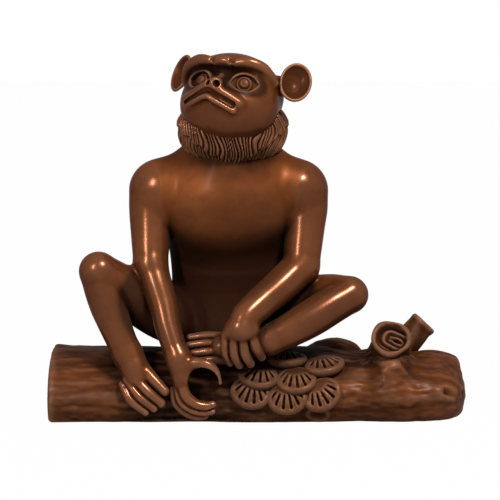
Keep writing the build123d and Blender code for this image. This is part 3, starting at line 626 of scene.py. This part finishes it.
def figureForm(p, owner):
    # the five limbs flow into one skin, and a piece keeps what lies nearest to it
    s = skinFlow
    apart = {name: form(p) for name, form in limbs.items()}
    skin = apart["torso"]
    shoulder = s["armpit"] + s["shoulder"] * step(s["armpitHeight"], s["shoulderHeight"], p[:, 2])
    for shape in (rightArmShape, leftArmShape):
        skin = smoothMin(skin, tube(p, shape["upper"]), shoulder)
    for shape in (rightLegShape, leftLegShape):
        skin = smoothMin(skin, tube(p, shape["thigh"]), s["hip"])
    for name in ("right_arm", "left_arm", "right_leg", "left_leg"):
        skin = np.minimum(skin, apart[name])
    others = np.min([d for name, d in apart.items() if name != owner], axis=0)
    beyond = (apart[owner] - others) * 0.5
    return np.maximum(skin + s["sink"] * np.clip(beyond, 0, s["sinkReach"]), beyond - s["overlap"])


headShape = {
    "middle": (-11.5, -5.5, 159),
    "turn": turned(x=-20, y=3, z=-25),
    "skull": ((0, 3, 2.5), (23.5, 23, 19)),
    "forehead": ((1, -7, 7.5), (21.5, 12.5, 11)),
    "jaw": ((1.2, -5.5, -7), (21.2, 20, 18.2)),
    "cheeks": [((-11.6, -5, -6), (11.8, 12.5, 13)), ((13, -5, -6), (12, 12.5, 13))],
    "hollow": ((10.6, -24, 6.8), (11, 6.8, 5.4)),
    "paintedShadeZone": ((3, -17.5, 2.8), (28, 10.5, 9.4)),  # painted shade all round the eyes, under the brow
    "eye": (12.2, -18.6, 2.8),
    "eyeOut": (0.42, -0.9, 0.1),
    "lid": (7.5, 5.1),  # half width and half height of the almond
    "ball": 9.5,
    "brow": [
        [(-22, -11, 3.6, 2.2), (-19.5, -15, 9.4, 2.6), (-12.4, -19.2, 12.4, 2.8), (-5.4, -20.6, 12.2, 2.1)],
        [(-1.8, -20.8, 12, 2.2), (1.6, -21.2, 12.4, 2.5), (5, -20.8, 12.2, 2.2)],
        [(8.6, -20, 12.2, 2.1), (14, -18, 13.2, 2.8), (20, -13, 12, 2.7), (23.4, -5.4, 7.6, 2)],
    ],
    "notches": [
        [(-3.6, -24, 8.4, 0.9), (-3.6, -22, 13.6, 1.5), (-3.4, -16, 17.6, 0.6)],
        [(6.8, -24, 8.4, 0.9), (6.8, -21.6, 13.8, 1.5), (6.6, -15.6, 17.8, 0.6)],
    ],
    "bridge": [(2.2, -20.6, 4.4, 1.2), (2.4, -22.8, 2.6, 1.5), (2.8, -25.5, 0.2, 2.2)],
    "nose": ((2.6, -26.6, -0.5), (3.5, 3.6, 3)),
    "nostrils": [(4.4, -29.4, -1.3, 1.5), (-0.2, -29.2, -1.1, 1.2)],
    "upperLip": [
        (-16, -17.5, -8, 1.8), (-8, -23.4, -5, 2.3), (-0.5, -26.8, -2.2, 2.5),
        (6.5, -25.6, -4.6, 2.3), (14, -21.2, -8, 2.1),
    ],
    "mouth": [
        (-15.2, -19.2, -9.5, 1), (-8, -25.2, -7.6, 1.4), (-0.6, -29, -5, 1.5),
        (5.9, -27.8, -7.2, 1.6), (12.2, -23.8, -9.7, 1.7),
    ],
    "lowerLip": [
        (-14.6, -18.4, -11.4, 1.2), (-8, -24.2, -10, 1.4), (-0.4, -27.4, -7.6, 1.5),
        (5.2, -26.4, -9.8, 1.4), (12.4, -22, -12.4, 1.4),
    ],
}


def headLocal(p):
    return (p - np.float32(headShape["middle"])) @ headShape["turn"]


def eyeLocal(h, side):
    s = headShape
    x, y, z = s["eye"]
    nx, ny, nz = s["eyeOut"]
    axes = facing((side * nx, ny, nz), (side * -0.12, 0, 1))
    middle = np.float32((side * x + 1.6, y, z)) - axes[:, 2] * s["ball"]
    return (h - middle) @ axes


def almond(q, half, height):
    radius = (half * half + height * height) / (2 * height)
    upper = np.hypot(q[:, 0], q[:, 1] + radius - height)
    lower = np.hypot(q[:, 0], q[:, 1] - radius + height)
    return np.maximum(upper, lower) - radius


def headForm(p):
    s = headShape
    h = headLocal(p)
    d = smoothMin(egg(h, *s["skull"]), egg(h, *s["jaw"]), 6)
    d = smoothMin(d, egg(h, *s["forehead"]), 6)
    for cheek in s["cheeks"]:
        d = smoothMin(d, egg(h, *cheek), 6)
    for side in (-1, 1):
        middle, radii = s["hollow"]
        d = smoothMax(d, -egg(h, (side * middle[0] + 1.6, middle[1], middle[2]), radii), 3)
    for lobe in s["brow"]:
        d = smoothMin(d, tube(h, lobe, 5), 1.6)
    for notch in s["notches"]:
        d = smoothMax(d, -tube(h, notch, 4), 0.6)
    d = smoothMin(d, tube(h, s["bridge"]), 2)
    d = smoothMin(d, egg(h, *s["nose"]), 1.5)
    d = smoothMin(d, tube(h, s["upperLip"], 5), 2.5)
    d = smoothMin(d, tube(h, s["lowerLip"], 5), 2)
    d = smoothMax(d, -tube(h, s["mouth"], 5), 0.5)
    for x, y, z, r in s["nostrils"]:
        d = smoothMax(d, -egg(h, (x, y, z), (r, 3, r * 1.2)), 0.5)
    for side in (-1, 1):
        q = eyeLocal(h, side)
        front = (q[:, 2] > 0)
        outline = almond(q, *s["lid"])
        away = sizeOf(q) - s["ball"]
        lid = np.where(front, np.hypot(outline, away) - 1.05, 9)
        d = smoothMin(d, lid, 0.9)
        socket = np.where(front, np.maximum(outline + 0.7, -1.9 - away), 9)
        d = smoothMax(d, -socket, 0.5)
    return d


# painted shade round the eyes, fading out at the edge of its zone
def headPaintedShade(p):
    return 0.95 * step(1, -2.5, egg(headLocal(p), *headShape["paintedShadeZone"]))


eyeShape = {"iris": 3.6, "groove": 2.75, "pupil": 2.0, "stand": 6.7}


def eyeForm(p, side):
    s = eyeShape
    q = eyeLocal(headLocal(p), side)
    d = egg(q, (0, 0, s["stand"]), (s["iris"] + 0.5, s["iris"] + 0.5, 2.8))
    across = np.hypot(q[:, 0], q[:, 1])
    d = d + 0.45 * np.exp(-((across - s["groove"]) / 0.42) ** 2)
    d = d - 0.25 * step(s["pupil"] + 0.3, s["pupil"] - 0.3, across)
    white = np.maximum(almond(q, *headShape["lid"]) - 0.2, np.abs(q[:, 2] - 6.5) - 0.8)
    return np.minimum(d, np.maximum(white, across - 7))


earShape = {
    "middle": (30.6, 4, 10.6), "half": (7.4, 9.4), "out": (0.54, -0.83, 0.12),
    "dish": 3.8, "wall": 1.4, "rim": 0.6,
    "stalk": [(19, 4, 8, 6), (27, 4.5, 10, 3.6)],
}


def earForm(p, side):
    s = earShape
    h = headLocal(p)
    x, y, z = s["middle"]
    nx, ny, nz = s["out"]
    axes = facing((side * nx, ny, nz), (side * 0.1, 0, 1))
    middle = np.float32((side * x - 1, y, z))
    q = (h - middle) @ axes
    a, b = s["half"]
    spread = np.hypot(q[:, 0] / a, q[:, 1] / b)
    off = np.abs(q[:, 2] - s["dish"] * (spread**2 - 0.5))
    bowl = off / np.sqrt(1 + (2 * s["dish"] * spread / 9) ** 2) - s["wall"] * 0.5
    d = smoothMax(bowl, (spread - 1) * a, 1)
    rim = np.hypot((spread - 1) * a, q[:, 2] - s["dish"] * 0.5) - s["rim"]
    d = smoothMin(d, rim, 0.8)
    root, tip = np.float32(s["stalk"]) * np.float32((side, 1, 1, 1))
    stalk = bone(h, root, tip)
    lobe = smoothMax(stalk, q[:, 2] - s["dish"] * (spread**2 - 0.5), 0.8)
    return smoothMin(d, lobe, 2)


ruffShape = {
    "middle": (-11.8, -2, 142),
    "radii": (28.4, 24, 20),
    "strands": 84,
    "locks": 19,
    "depth": 1.1,
    "hem": 128,
    "edgeRise": 18, "hemRise": 7, "backRise": 4,  # how far the edges climb at the sides and the back
    "layer": 1.3,  # the lower layer lies this much under the upper one
}


def ruffForm(p):
    s = ruffShape
    q = p - np.float32(s["middle"])
    angle = np.arctan2(q[:, 0], -q[:, 1])
    height = p[:, 2]
    sway = 0.05 * np.sin(height * 0.32 + angle * 3)
    sway = sway + 0.03 * np.sin(angle * 7) + 0.02 * np.sin(angle * 17 + 1)
    strand = np.cos((angle + sway) * s["strands"])
    lock = np.cos((angle + sway * 1.4) * s["locks"] + 0.8)
    body = egg(p, s["middle"], s["radii"])
    aside = np.abs(q[:, 0]) / s["radii"][0]
    edge = s["hem"] + s["edgeRise"] * aside**1.5 + 1.2 * lock + 0.5 * strand
    upper = smoothMax(body, edge - height, 0.8)
    hem = s["hem"] + s["hemRise"] * aside**2 + s["backRise"] * step(0, 20, q[:, 1])
    hem = hem + 0.8 * np.cos(angle * 23 + 2) - 0.5 * strand
    lower = smoothMax(body + s["layer"], hem - height, 0.8)
    d = np.minimum(lower, upper)
    return d + s["depth"] * (0.5 - 0.5 * strand) ** 3 * 1.4 + 0.5 * (0.5 - 0.5 * lock) ** 3 - 0.3


# the log and what stands on it

logShape = {
    "half": 104, "halfDepth": 31, "halfHeight": 22, "axis": 11, "under": 0.6,
    "pocket": (87.3, 17.7, 23),
    "dip": (30, 52, 3.5),  # the log sinks by this much between these places
    "mound": ((40, 17, 28), (13, 9, 6.2)),
    "paintedShadeZone": ((45, -4, 32), (30, 23, 12)),  # painted shadow between the fans and the stub
    "nose": ((75, 0, 11), (29.5, 30.6, 18.8)),  # the worn right end
    "bump": ((90, 2, 24.5), (12, 12, 5.5)),
    "flares": [
        [(60, -9, 27, 5.5), (52, -18, 22, 4.5), (42, -25, 15, 3)],
        [(66.3, -12, 29.5, 9.3), (66, -19, 23.5, 9), (65, -24.2, 14, 6.5)],
        [(73, -9, 26, 5), (78, -17, 20, 4), (84, -23.5, 14, 2.5)],
        [(60, 4, 25, 6), (51, 5, 25, 4)],
    ],
    "knots": [(92, -25, 15, 4), (30, -31, 5, 3.5), (-20, 27, 18, 6), (50, 28, 16, 7)],
}


def logForm(p):
    s = logShape
    x, y, z = p[:, 0], p[:, 1], p[:, 2]
    swell = 1 + 0.02 * np.sin(x / 17 + 1) + 0.015 * np.sin(x / 8.5 + 2.2)
    start, end, sink = s["dip"]
    tall = s["halfHeight"] - sink * step(start, end, x)
    q = np.stack([y / (s["halfDepth"] * swell), (z - s["axis"]) / (tall * swell)], 1)
    inner = sizeOf(q)
    slope = np.hypot(q[:, 0] / s["halfDepth"], q[:, 1] / tall)
    d = inner * (inner - 1) / np.maximum(slope, 1e-4)
    middle, radii = np.float32(s["nose"])
    q = np.abs(p - middle) / radii
    across = np.hypot(q[:, 1], q[:, 2])
    bulge = np.cbrt(q[:, 0] ** 3 + across**3)
    around = across * np.hypot(q[:, 1] / radii[1], q[:, 2] / radii[2])
    tilt = np.hypot(q[:, 0] ** 2 / radii[0], around) / np.maximum(bulge, 0.1) ** 2
    nose = (bulge - 1) / np.maximum(tilt, 1e-3)
    d = smoothMin(smoothMax(d, x - middle[0], 4), nose, 5)
    d = smoothMin(d, egg(p, *s["mound"]), 5)
    d = smoothMin(d, egg(p, *s["bump"]), 5)
    for flare in s["flares"]:
        d = smoothMin(d, tube(p, flare), 4.5)
    near = np.abs(d) < 6
    if near.any():
        b = p[near] * np.float32((0.16, 1, 1))
        wander = noise(p[near] * np.float32((0.5, 1, 1)), 9)[:, None] * np.float32((0, 1.6, 1.6))
        groove = noise(b + wander, 3.4)
        crack = noise(b + wander + 20, 6.5)
        relief = 0.5 * groove + 0.9 * np.maximum(0, 0.35 - np.abs(crack)) - 0.15
        relief = relief + 0.18 * noise(p[near] * np.float32((0.4, 1, 1)) + 7, 1.6)
        for kx, ky, kz, kr in s["knots"]:
            away = sizeOf((p[near] - np.float32((kx, ky, kz))) * np.float32((0.7, 1, 1)))
            pit = 1.4 * np.exp(-(away / (kr * 0.45)) ** 2)
            rim = 0.9 * np.exp(-((away - kr) / (kr * 0.35)) ** 2)
            relief = relief + pit - rim
        d[near] = d[near] + relief
    wobble = 0.6 * np.sin(np.arctan2(z - s["axis"], y) * 5)
    rings = 0.25 * np.cos(np.hypot(y + 3, (z - s["axis"]) * 1.35) * 2.1 + wobble)
    d = smoothMax(d, -x - s["half"] + 1.4 + rings, 3)
    d = smoothMax(d, s["under"] - z, 1)
    px, py, pz = s["pocket"]
    pocket = np.maximum(np.maximum(np.abs(x) - px, np.abs(y) - py), z - pz)
    return np.maximum(d, -pocket)


def stubLocal(p, root, tip):
    root, tip = np.float32(root), np.float32(tip)
    axes = facing(tip - root, (0, 0.3, 1))
    return (p - root) @ axes, float(np.linalg.norm(tip - root))


knotShape = {
    "root": (66.5, -1.5, 26), "tip": (66.3, -20.2, 42), "wide": 12.6, "narrow": 9.5,
    "lip": 0.7, "face": 7.6, "dip": 1.9, "turns": 3.3, "ridge": 0.7, "heart": (2.6, -1.2), "lean": -30,
}
twigShape = {"root": (70, 7, 28), "tip": (85.6, 9, 44.4), "wide": 7.6, "narrow": 6.5}


def knotForm(p):
    s = knotShape
    q, length = stubLocal(p, s["root"], s["tip"])
    angle = np.arctan2(q[:, 1], q[:, 0])
    across = np.hypot(q[:, 0], q[:, 1])
    up = np.clip(q[:, 2] / length, 0, 1)
    radius = s["narrow"] + (s["wide"] - s["narrow"]) * (1 - up) ** 2.5
    radius = radius + s["lip"] * np.exp(-(((up - 1) / 0.14) ** 2))
    radius = radius + 0.35 * np.sin(angle * 3 + 1) + 0.2 * np.sin(angle * 5 + up * 4)
    hx, hy = s["heart"]
    c, sn = math.cos(math.radians(s["lean"])), math.sin(math.radians(s["lean"]))
    long = (q[:, 0] - hx) * c + (q[:, 1] - hy) * sn
    wide = (q[:, 1] - hy) * c - (q[:, 0] - hx) * sn
    inward = np.hypot(long * 0.75, wide * 1.2) + 0.3 * np.sin(angle * 3)
    rings = np.cos(inward / s["turns"] * 2 * math.pi + math.pi * 0.9)
    dish = step(s["face"] + 0.8, s["face"] - 0.8, across) * (s["dip"] - s["ridge"] * rings)
    slit = np.hypot(np.maximum(np.abs(long) - 2.4, 0), wide)
    dish = dish + 1.5 * np.exp(-((slit / 0.8) ** 2))
    return smoothMax(across - radius, q[:, 2] - length + dish, 2.2)


def twigForm(p):
    s = twigShape
    q, length = stubLocal(p, s["root"], s["tip"])
    angle = np.arctan2(q[:, 1], q[:, 0])
    across = np.hypot(q[:, 0], q[:, 1])
    up = np.clip(q[:, 2] / length, 0, 1)
    side = across - (s["wide"] + (s["narrow"] - s["wide"]) * up) - 0.3 * np.sin(angle * 5 + q[:, 2] * 0.3)
    side = side - 0.45 * np.exp(-((q[:, 2] - length + 1.6) / 1.4) ** 2)
    rings = 0.2 * np.cos(across * 2.6) * step(5.6, 4.8, across) + 0.7 * step(5.4, 4.4, across)
    return smoothMax(side, q[:, 2] - length + rings, 1.2)


# the needle fans: along the log, how far up its side in degrees, and the lean of the fan
fanShape = {
    "places": [
        (15, 58, 0), (33.5, 48, 16), (1, 33, -10),
        (19.5, 28, 4), (-3, 13, -14), (15, 7, 4),
        (32, 11, 30),
    ],
    "half": (9.8, 8.4, 3.7),
    "rim": (0.84, 1.2, 1.4),  # where the fat lip runs, how far out it stands and its radius
    "apex": 8.5,
    "wedges": 11,
    "cut": 2.2,
    "tip": 16,  # the rim stands off the log by this many degrees
}


def fanForm(p, number):
    s, log = fanShape, logShape
    x, climb, lean = s["places"][number]
    c, sn = math.cos(math.radians(climb)), math.sin(math.radians(climb))
    place = np.float32((x, -log["halfDepth"] * c, log["axis"] + log["halfHeight"] * sn))
    outward = (0.0, -c / log["halfDepth"], sn / log["halfHeight"])
    axes = facing(outward, (0, 0, 1)) @ turned(z=lean) @ turned(x=-s["tip"])
    q = (p - place) @ axes
    wide, tall, _ = s["half"]
    rimward = np.hypot(q[:, 0] / wide, q[:, 1] / tall)
    share, stand, fat = s["rim"]
    lip = np.hypot((rimward - share) * tall, q[:, 2] - stand) - fat * step(tall, -0.3 * tall, q[:, 1]) - 0.1
    d = smoothMin(egg(q, (0, 0, 0), s["half"]), lip, 1.6)
    angle = np.arctan2(q[:, 0], s["apex"] - q[:, 1])
    away = np.hypot(q[:, 0], s["apex"] - q[:, 1])
    wedge = np.abs(np.sin(angle * s["wedges"] + number))
    cut = s["cut"] * (1 - step(0.1, 0.75, wedge)) * step(7, 9.5, away)
    return d + cut * step(0.82, 0.62, rimward) * step(-1, 1, q[:, 2])


fine, middling, rough = 0.42, 0.55, 0.7  # cell sizes of the meshes
eyeCell, eyeMargin = 0.25, 4


# how much darker than the skin each of these is: ears and eyes all over as painted shade, knot, twig, fans
# and log all over as a darker tone, and within the zones by the leg and the log as painted shadow
toneAndPaintedShade = {
    "ear": 0.45, "eye": 0.6, "knot": 0.66, "twig": 0.58, "fan": 0.64,
    "log": 0.25, "logShadowDepth": 0.65, "legShadowDepth": 0.97,
}


def duller(label):
    return lambda p: toneAndPaintedShade[label]


# painted shadow on the inner thigh under the hanging arm
def legPaintedShadow(p):
    return toneAndPaintedShade["legShadowDepth"] * step(3, -2, egg(p, *rightLegShape["paintedShadeZone"]))


# a darker tone all over the log, and painted shadow between the fans and the stub
def logToneAndShadow(p):
    return toneAndPaintedShade["log"] + toneAndPaintedShade["logShadowDepth"] * step(2, -4, egg(p, *logShape["paintedShadeZone"]))


def monkeyAll(p):
    body = np.min([form(p) for form in limbs.values()], axis=0)
    return np.minimum(np.minimum(headForm(p), ruffForm(p)), body)


def ornamentForm(p):
    return np.minimum(np.minimum(monkeyAll(p), logForm(p)), np.minimum(knotForm(p), twigForm(p)))


fillShadeGrid(ornamentForm)
print("shade grid filled")
for name in limbs:
    finish = torsoBronze if name == "torso" else limbBronze
    dim = legPaintedShadow if name == "right_leg" else None
    form = lambda p, n=name: figureForm(p, n)
    addPiece(name + "_casting", name, form, finish, middling, even=3, dim=dim)
addPiece("head_casting", "head", headForm, headBronze, fine, even=1, dim=headPaintedShade)
addPiece("ruff_casting", "neck_ruff", ruffForm, headBronze, fine)
for label, side in (("right", -1), ("left", 1)):
    ear, eye = label + "_ear", label + "_eye"
    form = lambda p, s=side: earForm(p, s)
    # ears and eyes get painted shade all over
    addPiece(ear + "_casting", ear, form, headBronze, fine, dim=duller("ear"))
    form = lambda p, s=side: eyeForm(p, s)
    addPiece(eye + "_bead", eye, form, headBronze, eyeCell, eyeMargin, dim=duller("eye"))
addPiece("log_casting", "log_shell", logForm, logBronze, rough, dim=logToneAndShadow)
addPiece("knot_casting", "knot_stub", knotForm, logBronze, middling, even=1, dim=duller("knot"))
addPiece("twig_casting", "twig_stub", twigForm, logBronze, middling, even=1, dim=duller("twig"))
for number in range(len(fanShape["places"])):
    label = "pine_fan_" + str(number + 1)
    form = lambda p, n=number: fanForm(p, n)
    addPiece(label + "_casting", label, form, fanBronze, fine, even=1, dim=duller("fan"))
print("pieces made")

# what stays as it came: the plate, its felt and the fixings
plainLooks = {
    "brass": {
        "colour": (0.42, 0.27, 0.1, 1), "tarnish": (0.16, 0.09, 0.04, 1),
        "metal": 1.0, "roughness": 0.34, "stretch": (0.04, 1, 1),
    },
    "steel": {
        "colour": (0.42, 0.42, 0.43, 1), "tarnish": (0.2, 0.19, 0.18, 1),
        "metal": 1.0, "roughness": 0.38, "stretch": (1, 1, 0.1),
    },
    "felt": {
        "colour": (0.03, 0.045, 0.03, 1), "tarnish": (0.012, 0.02, 0.013, 1),
        "metal": 0.0, "roughness": 0.95, "stretch": (1, 1, 1),
    },
}


def plainFinish(name):
    look = plainLooks[name]
    finish, tree, shader, place = startFinish(name + "Finish")
    grain = cloud(place, 700, 4, 0.6, look["stretch"])
    stain = cloud(place, 40, 3)
    colour = mixed((grain * 0.5 + (stain - 0.4) * 1.6).held(), look["colour"], look["tarnish"])
    bump = place.node("ShaderNodeBump", None, {"Height": grain, "Strength": 0.15, "Distance": 0.0003})
    roughness = (grain * 0.2 + look["roughness"] - 0.1).held()
    feed(tree, shader, Base_Color=colour, Metallic=look["metal"], Roughness=roughness, Normal=bump)
    return finish


keptLooks = {"base_plate": plainFinish("brass"), "felt_pad": plainFinish("felt")}
steelFinish = plainFinish("steel")
replaced = {"log_shell", "knot_stub", "twig_stub", "head", "neck_ruff", *limbs}
for node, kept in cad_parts.items():
    if node not in replaced and not node.endswith(("_ear", "_eye")) and not node.startswith("pine_fan"):
        kept.data.materials.clear()
        kept.data.materials.append(keptLooks.get(node, steelFinish))
print("kept nodes finished")

# the stage: floor, light and camera

stageLook = {
    "distance": 1.0, "elevation": 8, "target": (-3.25, 0, 82.5), "lens": 144, "sensor": 36,
    "floorHalf": 3, "floorGrey": (0.45, 0.45, 0.45, 1), "floorWhite": 0.985,
    "ambient": 0.14,
}
lamps = {
    "key": {"place": (0.4, -0.62, 1.0), "aim": (0, 0, 0.11), "size": (0.22, 0.2), "power": 18},
    "side": {"place": (-0.55, -0.8, 0.65), "aim": (0, 0, 0.09), "size": (0.09, 0.36), "power": 7},
}


def seenShare(tree):
    # 1 on the rays that show the background: to the camera, through glass and off metal
    path = tree.nodes.new("ShaderNodeLightPath")
    kinds = ("Is Camera Ray", "Is Transmission Ray", "Is Glossy Ray")
    camera, glass, metal = (Wire(tree, path.outputs[kind]) for kind in kinds)
    return camera.sum("MAXIMUM", camera.sum("MAXIMUM", camera, glass), metal)


floorMesh = bpy.data.meshes.new("floor")
half = stageLook["floorHalf"]
corners = [(-half, -half, 0), (half, -half, 0), (half, half, 0), (-half, half, 0)]
floorMesh.from_pydata(corners, [], [(0, 1, 2, 3)])
floor = bpy.data.objects.new("floor", floorMesh)
bpy.context.scene.collection.objects.link(floor)
floorFinish, floorTree, floorShader, floorPlace = startFinish("floorWhite")
feed(floorTree, floorShader, Base_Color=stageLook["floorGrey"], Roughness=0.9)
glow = floorPlace.node("ShaderNodeEmission", None, {"Color": (1, 1, 1, 1), "Strength": 1.0})
white = seenShare(floorTree) * stageLook["floorWhite"]
grey = Wire(floorTree, floorShader.outputs[0])
surface = floorPlace.node("ShaderNodeMixShader", None, {0: white, 1: grey, 2: glow})
floorTree.links.new(surface.socket, floorTree.nodes["Material Output"].inputs["Surface"])
floorMesh.materials.append(floorFinish)

world = bpy.data.worlds.new("studio")
bpy.context.scene.world = world
world.use_nodes = True
worldTree = world.node_tree
strength = seenShare(worldTree) * (1 - stageLook["ambient"]) + stageLook["ambient"]
worldTree.links.new(strength.socket, worldTree.nodes["Background"].inputs["Strength"])
worldTree.nodes["Background"].inputs["Color"].default_value = (1, 1, 1, 1)


def softBox(name):
    look = lamps[name]
    lamp = bpy.data.lights.new(name, "AREA")
    lamp.shape = "RECTANGLE"
    lamp.size, lamp.size_y = look["size"]
    lamp.energy = look["power"]
    box = bpy.data.objects.new(name, lamp)
    box.location = look["place"]
    box.rotation_euler = (Vector(look["aim"]) - Vector(look["place"])).to_track_quat("-Z", "Y").to_euler()
    bpy.context.scene.collection.objects.link(box)


for name in lamps:
    softBox(name)

camera = bpy.data.objects.new("camera", bpy.data.cameras.new("camera"))
target = Vector(stageLook["target"]) * mm
lift = math.radians(stageLook["elevation"])
camera.location = target + Vector((0, -math.cos(lift), math.sin(lift))) * stageLook["distance"]
camera.rotation_euler = (target - camera.location).to_track_quat("-Z", "Y").to_euler()
camera.data.lens = stageLook["lens"]
camera.data.sensor_width = stageLook["sensor"]
bpy.context.scene.collection.objects.link(camera)
bpy.context.scene.camera = camera
bpy.context.scene.view_settings.view_transform = "Standard"
print("stage set")
